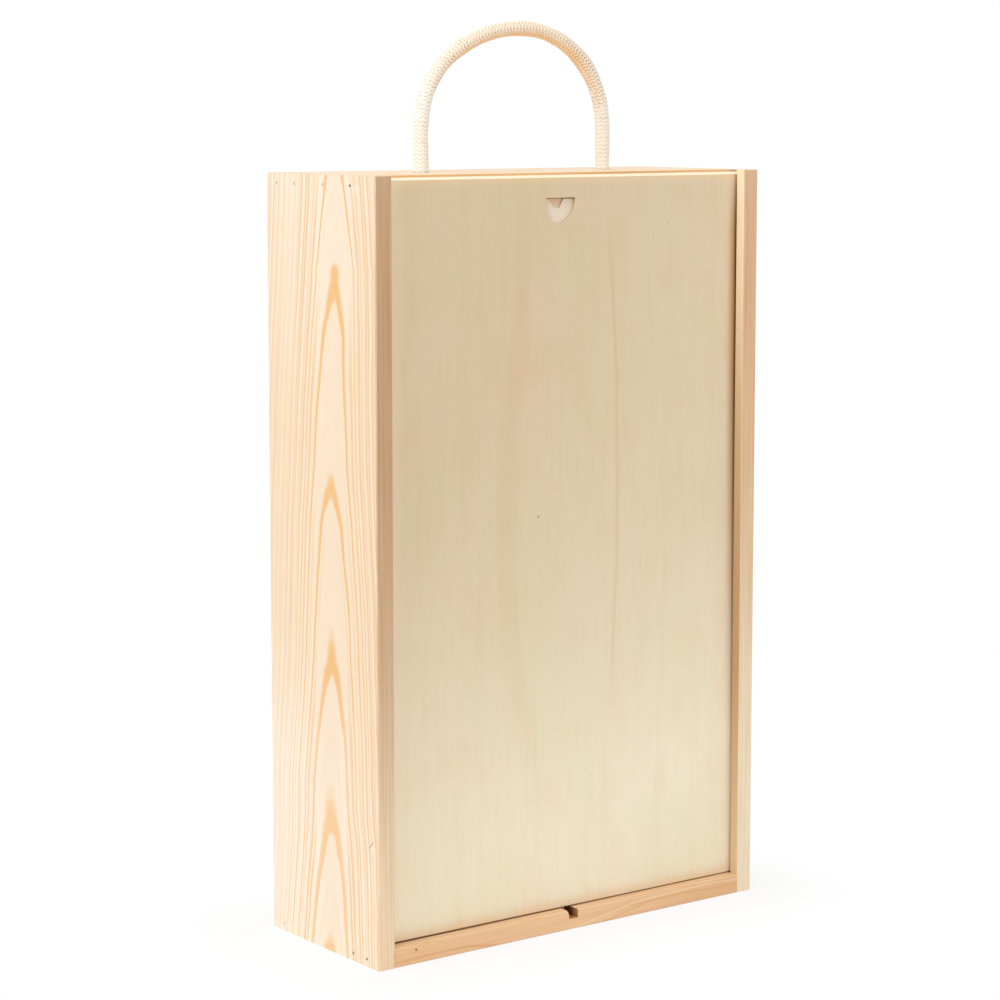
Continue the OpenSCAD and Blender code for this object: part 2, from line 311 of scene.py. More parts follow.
whiteness = WHITE_AT_FOOT + (1 - WHITE_AT_FOOT) * paper.step(away, 0, SHADOW_REACH)
far_off = whiteness * (seen + shine)
mixed = paper.node("ShaderNodeMixShader", None, {
    0: far_off, 1: Value(paper, paper.shader.outputs[0]), 2: blank})
paper.put(mixed, paper.tree.nodes["Material Output"].inputs["Surface"])
floor.data.materials.append(paper.material)
print("the floor is", 2 * FLOOR_R, "m across")

# %% Room and lamps
ROOM = 0.55
room = bpy.data.worlds.new("room")
bpy.context.scene.world = room
room.use_nodes = True
air = Net(room.node_tree)
straight = [
    air.node("ShaderNodeLightPath", output=ray)
    for ray in ("Is Camera Ray", "Is Glossy Ray", "Is Transmission Ray")]
dim = air.tree.nodes["Background"]
air.put(WHITE, dim.inputs["Color"])
air.put(ROOM, dim.inputs["Strength"])
white = air.node("ShaderNodeBackground", None, {"Color": WHITE, "Strength": 1.0})
choice = air.node("ShaderNodeMixShader", None, {
    0: straight[0] + straight[1] + straight[2], 1: Value(air, dim.outputs[0]), 2: white})
air.put(choice, air.tree.nodes["World Output"].inputs["Surface"])


def soft_box(name, place, target, width, height, power):
    """A rectangular lamp that faces its target."""
    data = bpy.data.lights.new(name, "AREA")
    data.shape = "RECTANGLE"
    data.size, data.size_y = width, height
    data.energy = power
    lamp = bpy.data.objects.new(name, data)
    lamp.location = place
    lamp.rotation_mode = "QUATERNION"
    lamp.rotation_quaternion = (Vector(target) - Vector(place)).to_track_quat("-Z", "Y")
    bpy.context.scene.collection.objects.link(lamp)


middle = (0, 0, 0.18)
soft_box("overhead", (-0.8, -0.3, 2.2), middle, 2.0, 2.0, 26)
soft_box("side", (-2.2, 0.1, 0.9), middle, 1.6, 1.6, 12)
soft_box("front", (0.3, -2.4, 0.9), middle, 1.8, 1.4, 7)

# %% [markdown]
# The route of the rope
#
# The handle is one length of soft cotton rope. It comes up through a hole in
# the top board, arches over and goes down again, and it is knotted inside the
# box at both ends. Its route is a smooth curve through listed points, each
# given in millimetres, across the box and up from the line that the handle
# swings about. A Catmull-Rom curve is used because it goes through all of them.

# %% Rope route
ROPE_D = 0.007
HOLE_Y = 0.0034
TOP_Z = 0.360
HINGE_Z = 0.3638
CURVE_CUTS = 8
ARCH_MM = [
    (-54, 0), (-54, 8), (-54, 16), (-53, 25.5), (-50, 34.5), (-45, 42.5), (-38.5, 49),
    (-30.5, 54.5), (-22, 58.5), (-13, 61.5), (-4, 63), (6, 63.5), (15, 62.5), (23.5, 60),
    (31, 56.5), (38, 51.5), (43.5, 46), (48, 39.5), (51.5, 31.5), (53.5, 23), (54, 14), (54, 7),
    (54, 0)]


def smooth(points, cuts):
    """More points on the Catmull-Rom curve through the given ones."""
    found = []
    for i in range(len(points) - 1):
        a, b = points[max(i - 1, 0)], points[i]
        c, d = points[i + 1], points[min(i + 2, len(points) - 1)]
        for k in range(cuts):
            t = k / cuts
            found.append(0.5 * (
                2 * b + (c - a) * t + (2 * a - 5 * b + 4 * c - d) * t ** 2
                + (3 * b - a - 3 * c + d) * t ** 3))
    return found + [points[-1]]


def even(points, gap):
    """The same route with its points an even distance apart."""
    run = [0.0]
    for a, b in zip(points, points[1:]):
        run.append(run[-1] + (b - a).length)
    count = max(2, round(run[-1] / gap))
    found, j = [], 0
    for k in range(count + 1):
        goal = run[-1] * k / count
        while j < len(run) - 2 and run[j + 1] < goal:
            j += 1
        share = (goal - run[j]) / max(run[j + 1] - run[j], 1e-9)
        found.append(points[j].lerp(points[j + 1], share))
    return found


def length_of(points):
    """The length of a route, from point to point."""
    return sum((b - a).length for a, b in zip(points, points[1:]))


arch = [Vector((x * MM, HOLE_Y, HINGE_Z + up * MM)) for x, up in ARCH_MM]
left_mouth = Vector((arch[0].x, HOLE_Y, TOP_Z))
right_mouth = Vector((arch[-1].x, HOLE_Y, TOP_Z))
arch_route = smooth([left_mouth] + arch + [right_mouth], CURVE_CUTS)
print("the arch is", round(length_of(arch_route), 4), "m of rope")

# %% [markdown]
# Knitted cotton
#
# The rope has a knitted cover: columns of small V-shaped stitches run along it,
# and they read as fine ridges across the rope. One could sweep each yarn by
# itself, but the rope is only as thick as a pencil, so its stitches are raised
# on one skin: a flat grid is rolled round the route, and each of its points is
# lifted or sunk. Slow waves swell it a little here and there, and most of all
# at its right shoulder, since a soft rope is never quite even. The height of
# each point is stored as an attribute, so that the material can paint shade
# into the furrows. A second attribute tells how far a point looks towards the
# inside of the arch, which the material paints in a warmer, shaded colour.

# %% Roll a knitted skin round a route
STITCH_COLUMNS = 8
STITCH = 0.0019
SLANT = 0.55
RIDGE_H, RIDGE_MIDDLE = 0.00036, 0.8
SWELL, QUICK_WAVE, SLOW_WAVE = 0.00008, 310, 173
SHOULDER_SWELL, SHOULDER_AT, SHOULDER_REACH = 0.00035, 0.15, 0.016
ARCH_MIDDLE = Vector((0, HOLE_Y, 0.385))


def stitched(name, route, row_gap, sides, side, shoulder=0.0):
    """A tube of knitted rope along the route; side is any direction across its start."""
    route = even(route, row_gap)
    total = length_of(route)
    ways = []
    for i in range(len(route)):
        ahead, behind = route[min(i + 1, len(route) - 1)], route[max(i - 1, 0)]
        ways.append((ahead - behind).normalized())
    across, starts = Vector(side), []
    for way in ways:
        across = (across - across.dot(way) * way).normalized()
        starts.append(across)
    bm = bmesh.new()
    bmesh.ops.create_grid(
        bm, x_segments=sides, y_segments=len(route) - 1, size=0.5, calc_uvs=True)
    heights = bm.verts.layers.float.new("stitch_height")
    inner = bm.verts.layers.float.new("inner_side")
    for vert in bm.verts:
        u, v = vert.co.x + 0.5, vert.co.y + 0.5
        row = round(v * (len(route) - 1))
        run = total * row / (len(route) - 1)
        column = u * STITCH_COLUMNS % 1
        turn_back = SLANT * abs(2 * column - 1)
        ridge = abs(math.cos(math.pi * (run / STITCH + turn_back)))
        furrow = 1 - (2 * abs(column - 0.5)) ** 6
        height = ridge ** 0.8 * (0.6 + 0.4 * furrow)
        angle = 2 * math.pi * u
        way, out = ways[row], starts[row]
        outwards = math.cos(angle) * out + math.sin(angle) * way.cross(out)
        inwards = (ARCH_MIDDLE - route[row]).normalized()
        vert[heights] = height
        vert[inner] = 0.5 + 0.5 * outwards.dot(inwards)
        swell = SWELL * (math.sin(run * QUICK_WAVE) + math.sin(run * SLOW_WAVE + 2))
        swell += shoulder * math.exp(-((run - SHOULDER_AT) / SHOULDER_REACH) ** 2)
        lift = swell + RIDGE_H * (height - RIDGE_MIDDLE)
        vert.co = route[row] + (ROPE_D / 2 + lift) * outwards
    bmesh.ops.remove_doubles(bm, verts=bm.verts, dist=1e-6)
    rim = [edge for edge in bm.edges if edge.is_boundary]
    bmesh.ops.holes_fill(bm, edges=rim, sides=0)
    bmesh.ops.recalc_face_normals(bm, faces=bm.faces)
    for face in bm.faces:
        face.smooth = len(face.verts) < 5
    mesh = bpy.data.meshes.new(name)
    bm.to_mesh(mesh)
    bm.free()
    piece = bpy.data.objects.new(name, mesh)
    bpy.context.scene.collection.objects.link(piece)
    print(name, "has", len(mesh.polygons), "faces")
    return piece


handle = stitched(
    "rope_arch", arch_route, row_gap=0.00028, sides=64, side=(0, 1, 0), shoulder=SHOULDER_SWELL)
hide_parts("rope_handle")
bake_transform(handle)
[tuple(p) for p in even(arch_route, 0.004)]

# %% [markdown]
# The knots inside
#
# Under the top board each end of the rope is tied in an overhand knot, too big
# for its hole. A knot can be drawn as two strands wound round each other and a
# loop that joins them outside. The route repeats the one that the frame was
# built from, point by point and in millimetres, so the soft knot lies where its
# solid lies.

# %% Knots
KNOT_R, KNOT_PITCH, BOARD, TAIL = 4.7, 19, 9, 8
STEPS, STEP_DEG, STRAND_TOP, KNOT_CUTS = 9, 60, -6, 6
STRAND_H = KNOT_PITCH * STEPS * STEP_DEG / 360
FOOT = STRAND_TOP - STRAND_H
LOOP_LOW = [(-7, -5.5, -3.5), (-12, -7.5, -1), (-14.5, -4, 5)]
LOOP_HIGH = [(-14.5, 0, -20), (-14.5, 4, -11), (-12, 7.5, -5), (-7, 5.5, -2.5)]


def strand(side):
    """One of the two wound strands, on the side of 1 or -1."""
    angles = [math.radians(k * STEP_DEG) for k in range(STEPS + 1)]
    return [
        (side * KNOT_R * math.cos(a), side * KNOT_R * math.sin(a),
         STRAND_TOP - STRAND_H * k / STEPS) for k, a in enumerate(angles)]


knot_mm = (
    [(KNOT_R, 0, BOARD), (KNOT_R, 0, BOARD / 2), (KNOT_R, 0, 0)] + strand(1)
    + [(x, y, z + FOOT) for x, y, z in LOOP_LOW] + LOOP_HIGH + strand(-1)
    + [(KNOT_R, 1, FOOT - TAIL * 0.6), (KNOT_R, 1, FOOT - TAIL)])
for name, mouth, turned in (("left", left_mouth, 1), ("right", right_mouth, -1)):
    points = [
        mouth + Vector((turned * (x - KNOT_R), turned * y, z - BOARD)) * MM
        for x, y, z in knot_mm]
    knot = stitched(
        "knot_" + name, smooth(points, KNOT_CUTS), row_gap=0.00045, sides=40, side=(0, 1, 0))
    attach(knot, "box")
    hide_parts("rope_knot_" + name)
    nodes["knot_" + name] = knot
nodes["rope_arch"] = handle

# %% [markdown]
# The cotton
#
# Undyed cotton is a warm white with no gloss. Shade is painted into the
# furrows between the yarns, more deeply at the top of the arch and most of all
# on the right side of the top, and the inside of the arch is painted in a
# warmer, shaded colour. Fine noise stands for the fibres, and a little sheen
# for the fuzz that makes the outline of soft cotton bright.

# %% Cotton finish
cotton = Finish("cotton", roughness=0.95, specular=0.15)
cotton.shader.inputs["Sheen Weight"].default_value = 0.35
cotton.shader.inputs["Sheen Roughness"].default_value = 0.5
cx, cy, cz = cotton.place()
height = cotton.node("ShaderNodeAttribute", {"attribute_name": "stitch_height"}, output="Fac")
inner = cotton.node("ShaderNodeAttribute", {"attribute_name": "inner_side"}, output="Fac")
drift = cotton.noise(cx / 9, cy / 9, cz / 9, detail=1.0)
fibre = cotton.noise(cx / 0.5, cy / 0.5, cz / 0.5)
crest = cotton.step(height + fibre * 0.5, 0.0, 0.8)
high = cotton.step(cz + drift * 30, 388, 418)
# Painted shade: the inside of the arch gets a warmer, darker colour, most at the top.
inner_shade = cotton.step(inner + drift * 0.3, 0.45, 0.95) * (0.2 + 0.8 * high)
# Painted shade on the furrows of the right side of the top, away from the side lamp.
painted_right_shade = high * cotton.step(cx + drift * 20, 22, 44)
# The furrows get painted shade, deeper at the top of the arch.
furrow = cotton.mix(high, sRGB(244, 226, 202), sRGB(222, 184, 148))
furrow = cotton.mix(painted_right_shade, furrow, sRGB(176, 142, 116))
blot = cotton.noise(cx / 2, cy / 2, cz / 2, detail=1.0)
blot = cotton.step(blot, 0.02, 0.2) * cotton.step(cz + drift * 30, 372, 404)
furrow = cotton.mix(blot * 0.7, furrow, sRGB(158, 122, 96))
yarn = cotton.mix(high, sRGB(255, 250, 241), sRGB(254, 238, 216))
lit_cotton = cotton.mix(crest, furrow, yarn)
shaded_cotton = cotton.mix(crest, sRGB(220, 164, 110), sRGB(250, 212, 164))
cotton.colour(cotton.mix(inner_shade, lit_cotton, shaded_cotton))
cotton.bump(fibre, 0.0001, 0.5)
dress(cotton, "rope_arch", "knot_left", "knot_right")
print("the finish of cotton has", len(cotton.tree.nodes), "boxes")

# %% [markdown]
# Pine
#
# A board is a slice through the yearly rings of a tree, so its grain is not a
# picture on each face but one pattern in space that the faces cut. Here the
# rings are round a line beside the board. Along the board the count of the
# rings changes slowly, since a tree tapers, and where a ring touches the face
# it draws one of the tall pointed flames that a flat-sawn board shows. Each
# ring ends in a thin orange band of late wood. Sawn edges are darker and show
# fine stripes, and the ends of the fibres drink more light still.

# %% Pine finish
def flames(tips, top):
    """Stops for the count of the rings, which grows by one from each tip to the next below.

    A blunt flame opens fast below its tip; then its arms run nearly side by side."""
    stops = [tips[0][:2]]
    for (low, many, _), (high, few, blunt) in zip(tips, tips[1:]):
        gap, rise = high - low, many - few
        stops += [
            (high - 0.65 * gap, few + rise * (0.55 + 0.15 * blunt)),
            (high - 0.3 * gap, few + 0.38 * rise * blunt),
            (high - 0.12 * gap, few + 0.14 * rise * blunt), (high, few)]
    return stops + [top]


def pine(name, board):
    """A finish for one pine board; board gives where its grain lies and its tones."""
    wood = Finish(name, roughness=0.62, specular=0.25)
    x, y, z = wood.place()
    along, across, depth = board["grain"](x, y, z)

    # The rings: their number and the part of a ring. From -1 up they draw the flames.
    slow = wood.noise(across / 24, depth / 24, along / 95)
    quick = wood.noise(across / 5, depth / 5, along / 34, detail=1.0)
    off = across - wood.follow(along, board["middle"]) + slow * board["sway"] + quick * 0.9
    heart = board["heart"] - depth
    radius = wood.root(off * off + heart * heart) - board["heart"]
    rings = wood.follow(along, board["tips"]) - radius / board["ring"] + quick * 0.12
    number = wood.floor(rings)
    part = rings - number
    is_flame = wood.step(number, -1.6, -1.4)
    seeded = number + board["seed"]
    faint = (1 - wood.step(along, 50, 170)) * wood.step(across, 8, 24) * board["faint"]
    share = wood.follow(across, board["sides"]) * (1 - 0.8 * faint)
    strong = wood.most((0.4 + 0.6 * wood.random(seeded)) * share, is_flame)
    width = wood.follow(number, board["bands"])
    late = wood.step(part, 0.0, width * 0.6) * (1 - wood.step(part, width, width + 0.06))
    late = late * strong
    second = wood.within(part, 0.5, 0.62, 0.12) * (0.3 + 0.7 * wood.random(seeded + 0.5))
    second = second * wood.step(wood.size(off), 11, 17) * share

    # Fine noise along the grain.
    thread = wood.noise(rings * 6, 0.0, along / 110)
    stripe = wood.noise(across / 0.45, depth / 0.45, along / 90, detail=1.0)
    hair = wood.noise(across / 0.35, depth / 0.35, along / 14)
    patch = wood.noise(across / 18, depth / 18, along / 70, detail=1.0)

    # The face, with its late wood, its flames and the calm strip between their arms.
    bright = wood.follow(along, board["bright"]) + patch * 0.5 + faint * 0.6
    bright = bright - (1 - wood.step(across, -44, 0)) * board["lean"]
    face = wood.mix(bright, board["light"], board["pale"])
    calm = 1 - wood.step(wood.size(off), 3, 14)
    face = wood.mix(calm * 0.6, face, board["pink"])
    grain = wood.step(thread, -0.05, 0.3) * (1 - 0.8 * calm) * (0.4 + 0.6 * share)
    face = wood.mix(grain * 0.75, face, board["fine"])
    face = wood.mix(second * 0.85, face, board["line"])
    flame_tone = wood.mix(wood.step(along, 90, 140), board["low_late"], board["late"])
    late_tone = wood.mix(is_flame, board["line"], flame_tone)
    face = wood.mix(late, face, late_tone)

    # The sawn edge, with its stripes, and its tone along the board: on the side boards this is
    # painted light, paler towards their foot.
    tone = wood.follow(along, board["edge_tone_and_painted_light"])
    edge = wood.mix(tone, board["edge_dark"], board["edge_light"])
    streak = wood.noise(across / 3, depth / 3, along / 60)
    lines = wood.step(stripe, -0.15, 0.2) * board["edge_lines"]
    for mask in (lines, wood.step(streak, -0.1, 0.25) * 0.24):
        edge = wood.mix(mask, edge, board["edge_stripe"], "MULTIPLY")

    # The end of the board, and which of the three a point is on.
    facing = wood.facing()
    is_edge = wood.step(facing[1], 0.55, 0.85)
    is_end = wood.step(facing[board["end_axis"]], 0.55, 0.85)
    pores = wood.noise(x / 0.5, y / 0.5, z / 0.5)
    end = wood.mix(late, sRGB(246, 224, 190), sRGB(222, 172, 118))
    end = wood.mix(wood.step(pores, 0.0, 0.3) * 0.3, end, sRGB(206, 168, 128))
    tint = wood.mix(is_edge, face, edge)
    tint = wood.mix(is_end, tint, end)
    for mask, colour in board["marks"](wood, x, y, z):
        tint = wood.mix(mask, tint, colour)
    wood.colour(tint)
    wood.bump(hair * 0.6 + late * 0.5 + thread * 0.4, 0.00008, 0.6)
    return wood


# %% [markdown]
# Marks on the boards
#
# A used box has small marks: a scratch and a bruise beside a nail. Shade is
# painted into the grooves where the lid slides, into the slot of the bottom
# board and onto the board under the lid, and painted light and shade onto the
# wall of the right lip. Each board has a function for its own marks, which
# gives pairs of a mask and a colour. Distances are in millimetres.

# %% Marks of the boards
GROOVE_FRONT, GROOVE_BACK, GROOVE_FLOOR, BOARD_T = -40.0, -34.2, 5.0, 9.0
# The second colour is painted shade for the grooves, and the heights below give its strength:
# weak at the foot, where light comes up from the floor, and at the top, where light falls in.
SHADE, GROOVE_SHADE_BROWN = sRGB(112, 72, 40), sRGB(156, 100, 52)
GROOVE_SHADE_HEIGHTS = [
    (0, 0.0), (45, 0.0), (95, 0.12), (145, 0.35), (195, 0.65), (245, 0.9), (285, 1), (315, 1),
    (335, 0.85), (350, 0.35), (360, 0.1)]


def no_marks(*_):
    return []


def painted_groove_shade(wood, x, y, z):
    """The groove of a side board, with painted shade that is strongest in its upper half and
    fades at its top.
    """
    inside = BOARD_T - (HALF_W - wood.size(x))
    groove = wood.within(y, GROOVE_FRONT - 0.1, GROOVE_BACK + 0.1)
    groove = groove * wood.within(inside, 0.2, BOARD_T - GROOVE_FLOOR + 0.1)
    return groove * wood.follow(z, GROOVE_SHADE_HEIGHTS)


def left_marks(wood, x, y, z):
    """A slanting scratch and a scuff near the front, a bruise beside the upper nail, and the
    painted shade of the groove.
    """
    scratch = wood.spot(y + (z - 57.7) * 0.9, (z - 57.7) / 3, (-39.3, 0), 0.9)
    scuff = wood.spot(y, z / 2, (-40.2, 27.9), 0.9)
    bruise = wood.spot(y, z, (-30, 353.8), 3.2)
    bruise = bruise * wood.step(wood.noise(0.0, y / 0.7, z / 0.7), -0.05, 0.15)
    return [
        (painted_groove_shade(wood, x, y, z), GROOVE_SHADE_BROWN), (scuff * 0.5, sRGB(255, 248, 238)),
        (scratch * 0.6, sRGB(190, 158, 124)), (bruise * 0.7, sRGB(255, 248, 236))]


def right_marks(wood, x, y, z):
    """Painted light and shade on the wall of the lip in front of the lid, bright at its top and
    browner below, and the painted shade of the groove.
    """
    # The lip is painted bright as if lit, and painted shade browns it lower down.
    lip = wood.within(HALF_W - x, BOARD_T - 0.2, BOARD_T + 1) * (1 - wood.step(y, -40.1, -39.9))
    height = wood.follow(z, [
        (0, 0.4), (50, 0.55), (100, 0.75), (145, 0.8), (245, 0.55), (300, 0.15), (360, 0)])
    return [
        (painted_groove_shade(wood, x, y, z), GROOVE_SHADE_BROWN), (lip, sRGB(255, 232, 196)),
        (lip * height, sRGB(184, 138, 84))]


# Growth lines on the front of the bottom board: route, width, strength and colour.
FRONT_LINES = [
    ([(-104, 2.2), (-80, 3.0), (-60, 2.4), (-30, -2.0)], 1.1, 0.5, (226, 160, 100)),
    ([(-10, -1.0), (32, 5.4), (50, 7.0), (75, 7.6), (104, 7.2)], 0.9, 0.55, (255, 226, 190)),
    ([(0, -2.5), (40, 4.2), (60, 5.8), (80, 5.2), (104, 4.8)], 0.9, 0.45, (226, 164, 106))]


def bottom_marks(wood, x, y, z):
    """Growth lines and a speck in front, painted shade in the slot and painted shade on the
    board under the foot of the lid.
    """
    in_front = 1 - wood.step(y, -44.6, -44.2)
    rings = []
    for route, width, strength, tone in FRONT_LINES:
        away = wood.size(z - wood.follow(x, route))
        line = (1 - wood.step(away, 0, width)) * in_front
        ends = wood.step(x, route[0][0], route[0][0] + 1)
        rings.append((line * ends * strength, sRGB(*tone)))
    # Painted shade in the slot, darkest near the lid.
    slot = wood.within(x, -2.95, 2.95) * wood.step(z, 4.8, 4.9) * wood.step(y, -44.9, -43.5)
    near_lid = wood.step(y, -42, -39.5)
    speck = wood.spot(x, z, (-91.9, 6.6), 0.9) * (1 - wood.step(y, -44.5, -44.0))
    # Painted shade on the board under the foot of the lid, darkest at the left.
    under_lid_shade = wood.within(y, -38.4, -34.4, 0.2) * wood.step(z, 8.8, 8.95)
    under_lid_shade = under_lid_shade * wood.follow(x, [(-104, 1), (-40, 0.85), (30, 0.6), (104, 0.2)])
    return rings + [
        (under_lid_shade * 0.9, sRGB(206, 146, 78)),
        (slot * 0.9, sRGB(166, 104, 58)), (slot * near_lid * 0.8, sRGB(84, 46, 18)),
        (speck * 0.7, SHADE)]


# %% [markdown]
# The four boards
#
# The left board follows the flames of the photographed one: each tip gives the
# height where a ring touches the face, the ring's number and how blunt it is.
# "middle" is the line on which the tips lie, and "bands" gives the width of the
# late wood by the number of the ring. The other lists are (place, level) stops
# too, with the place in millimetres along or across the board. "heart" is how
# deep the middle of the tree lies, "ring" the distance between two rings, and
# "sway" how far they wander. "lean" darkens the front half of the face, and
# "faint" fades the grain near its foot, towards the back. The other boards are
# copies of the left one with their own direction, flames and tones. The bottom
# board shows no flames, so the count of its rings is given directly.

# %% Boards
left_board = {
    "grain": lambda x, y, z: (z, y, x + HALF_W),
    "middle": [
        (0, -4.4), (50, -6.6), (75, -5.8), (100, -6.8), (154, -8.2), (205, -7.6), (265, -9),
        (319, -12.2), (360, -12)],
    "tips": flames(
        [(-56, 5, 1), (11, 4, 1), (81, 3, 0.72), (155, 2, 0.65), (226, 1, 1), (321, 0, 1)],
        (360, -0.7)),
    "bands": [
        (-16, 0.3), (-2, 0.3), (-1, 0.13), (0, 0.2), (1, 0.2), (2, 0.26), (3, 0.3), (4, 0.24),
        (5, 0.2)],
    "sides": [(-45, 1), (0, 1), (17, 1), (22, 0.75), (33, 0.75), (37, 1), (45, 1)],
    "sway": 2.0, "heart": 32.0, "ring": 3.4, "seed": 3.0,
    "bright": [
        (0, 1), (60, 0.9), (110, 0.5), (170, 0.1), (250, 0.1), (290, 0.42), (340, 0.7),
        (360, 0.9)],
    "lean": 0.4, "faint": 0.85,
    "light": sRGB(242, 221, 194), "pale": sRGB(250, 235, 216), "pink": sRGB(241, 220, 195),
    "fine": sRGB(234, 203, 166), "line": sRGB(234, 193, 146), "late": sRGB(238, 190, 131),
    "low_late": sRGB(243, 201, 152),
    # Painted light on the sawn edge: paler towards the foot of the board.
    "edge_tone_and_painted_light": [
        (0, 1), (22, 1), (58, 0.85), (103, 0.46), (170, 0.2), (220, 0.05), (260, 0),
        (360, 0.15)],
    "edge_dark": sRGB(207, 169, 132), "edge_light": sRGB(253, 228, 196),
    "edge_stripe": sRGB(226, 208, 188), "edge_lines": 0.6, "end_axis": 2, "marks": left_marks}
right_board = dict(
    left_board, grain=lambda x, y, z: (z, y, HALF_W - x), seed=31.0, faint=0.0,
    middle=[(0, 9.0), (120, 4.0), (260, 8.0), (360, 12.0)],
    tips=flames(
        [(-15, 5, 1), (55, 4, 0.8), (140, 3, 1), (210, 2, 0.7), (265, 1, 1), (350, 0, 1)],
        (380, -0.6)),
    sides=[(-45, 0.8), (-25, 0.6), (0, 1), (45, 1)],
    # Painted light on the sawn edge: paler towards the foot of the board.
    edge_tone_and_painted_light=[
        (0, 1), (70, 0.86), (145, 0.49), (200, 0.22), (245, 0.08), (300, 0.05), (360, 0.1)],
    edge_dark=sRGB(231, 190, 150), edge_light=sRGB(255, 242, 212), edge_lines=0.42,
    marks=right_marks)
top_board = dict(
    left_board, grain=lambda x, y, z: (x, y, TOP_Z / MM - z), seed=57.0, faint=0.0,
    middle=[(-104, 6.0), (0, 2.0), (104, -3.0)],
    tips=flames([(-104, 3, 1), (-60, 2, 1), (20, 1, 0.8), (90, 0, 1)], (110, -0.3)),
    bright=[(-104, 0.4), (0, 0.7), (104, 0.5)],
    edge_tone_and_painted_light=[(-104, 0.5), (0, 0.6), (104, 0.5)],
    edge_dark=sRGB(250, 198, 138), edge_light=sRGB(254, 212, 158), end_axis=0,
    marks=no_marks)
bottom_board = dict(
    left_board, grain=lambda x, y, z: (x, z, y + HALF_D), seed=83.0, faint=0.0,
    middle=[(-104, 2.0), (-30, 5.0), (40, 8.0), (104, 4.5)],
    tips=[(-104, 0.2), (-60, 0.8), (10, 1.5), (70, 2.1), (104, 2.9)],
    sway=3.0, heart=16.0, ring=3.2, bright=[(-104, 0.4), (0, 0.6), (104, 0.5)],
    light=sRGB(238, 202, 162), pale=sRGB(242, 208, 170), late=sRGB(230, 180, 126),
    line=sRGB(230, 184, 136), low_late=sRGB(230, 180, 126),
    pink=sRGB(240, 204, 166), edge_tone_and_painted_light=[(-104, 0.35), (0, 0.65), (45, 0.5), (104, 0.1)],
    edge_dark=sRGB(236, 188, 140), edge_light=sRGB(254, 216, 173), edge_lines=0.12,
    end_axis=0, marks=bottom_marks)
for name, board in (
        ("left_side", left_board), ("right_side", right_board),
        ("top_end", top_board), ("bottom_end", bottom_board)):
    dress(pine("pine_" + name, board), name)
    print(name, "is finished")

# %% [markdown]
# Plywood
#
# The lid, the back and the divider are thin plywood: three veneers, with the
# grain of the middle one turned. The face is a smooth pale veneer with soft
# streaks and small dark vessel marks, and painted light makes it paler towards
# its foot and darker towards its top. An edge shows the three layers, so the
# finish needs to know through which coordinate the sheet is thick.

# %% Plywood finish
def plywood(name, sheet):
    """A finish for one sheet of plywood; sheet gives its directions, tones and marks."""
    wood = Finish(name, roughness=0.55, specular=0.3)
    x, y, z = wood.place()
    across, through, along = sheet["grain"](x, y, z)
    drift = across + sheet["seed"]
    wave = wood.noise(drift / 40, 0.0, along / 160)
    streak = wood.noise(drift / 7 + wave * 2, 0.0, along / 120)
    fine = wood.noise(drift / 1.1, 0.0, along / 26)
    cloud = wood.noise(drift / 45, 3.0, along / 60)
    blush = wood.noise(drift / 20, 7.0, along / 36)
    marks = wood.noise(drift / 0.7, 11.0, along / 6.5, detail=1.0)
    # tone is painted light: the face grows darker towards its top and paler towards its foot.
    tone = wood.follow(along, sheet["tone"]) + across * sheet["lean"] + cloud * 0.15
    face = wood.mix(tone, sheet["dark"], sheet["light"])
    face = wood.mix(wood.step(cloud, -0.2, 0.25) * 0.5, face, sheet["green"], "MULTIPLY")
    face = wood.mix(wood.step(blush, -0.05, 0.25) * 0.5, face, sheet["pink"], "MULTIPLY")
    face = wood.mix(wood.step(streak, -0.05, 0.3) * 0.25, face, sheet["streak"], "MULTIPLY")
    face = wood.mix(wood.step(fine, 0.0, 0.3) * 0.5, face, sheet["streak"], "MULTIPLY")
    face = wood.mix(wood.step(marks, 0.18, 0.34) * 0.4, face, sRGB(206, 186, 156), "MULTIPLY")
    for route, width, strength in sheet["lines"]:
        away = wood.size(across - wood.follow(along, route) + wave * 4)
        ends = wood.within(along, route[0][0] + 50, route[-1][0] - 50, 50)
        line = (1 - wood.step(away, 0, width)) * ends * strength
        face = wood.mix(line, face, sheet["line"], "MULTIPLY")

    # The edge, with its three layers.
    layer = through / sheet["thick"]
    core = wood.step(layer, 0.27, 0.31) * (1 - wood.step(layer, 0.69, 0.73))
    saw = wood.noise(x / 0.6, y / 0.6, z / 0.6)
    edge = wood.mix(core, sRGB(238, 214, 176), sRGB(208, 166, 118))
    edge = wood.mix(wood.step(saw, -0.1, 0.3) * 0.35, edge, sRGB(205, 180, 150), "MULTIPLY")
    facing = wood.facing()
    on_face = wood.step(facing[sheet["face_axis"]], 0.3, 0.6)
    tint = wood.mix(on_face, edge, face)
    for mask, colour in sheet["marks"](wood, x, y, z, facing):
        tint = wood.mix(mask, tint, colour)
    wood.colour(tint)
    wood.bump(fine * 0.5 + marks * 0.5, 0.00005, 0.5)
    return wood


# %% [markdown]
# Marks on the lid
#
# Light and shade are painted on the lid. A painted shadow of the right lip
# browns its right edge, and painted shade darkens its edges where they run in
# the grooves, its foot and the gap under its foot, most at the left. Its left
# edge and its upper bevel carry painted highlights. The finger pull is cut
# through the face veneer, so its floor shows the layers below, and a painted
# shadow lines the top of the pull.

# %% Marks of the lid
lid_low, lid_high = nodes["lid"].bound_box[0], nodes["lid"].bound_box[6]
LID_FRONT, LID_FOOT, LID_TOP = [
    round(side / MM, 1) for side in (lid_low[1], lid_low[2], lid_high[2])]
INNER_X = HALF_W - BOARD_T
PULL_X, PULL_TOP, PULL_W, PULL_H = -4.0, 348.5, 17.0, 12.0
# How strong the painted shade of the gap under the lid is, from left to right.
GAP_SHADE_ALONG = [(-104, 1), (-80, 0.75), (-20, 0.5), (30, 0.15), (104, 0)]


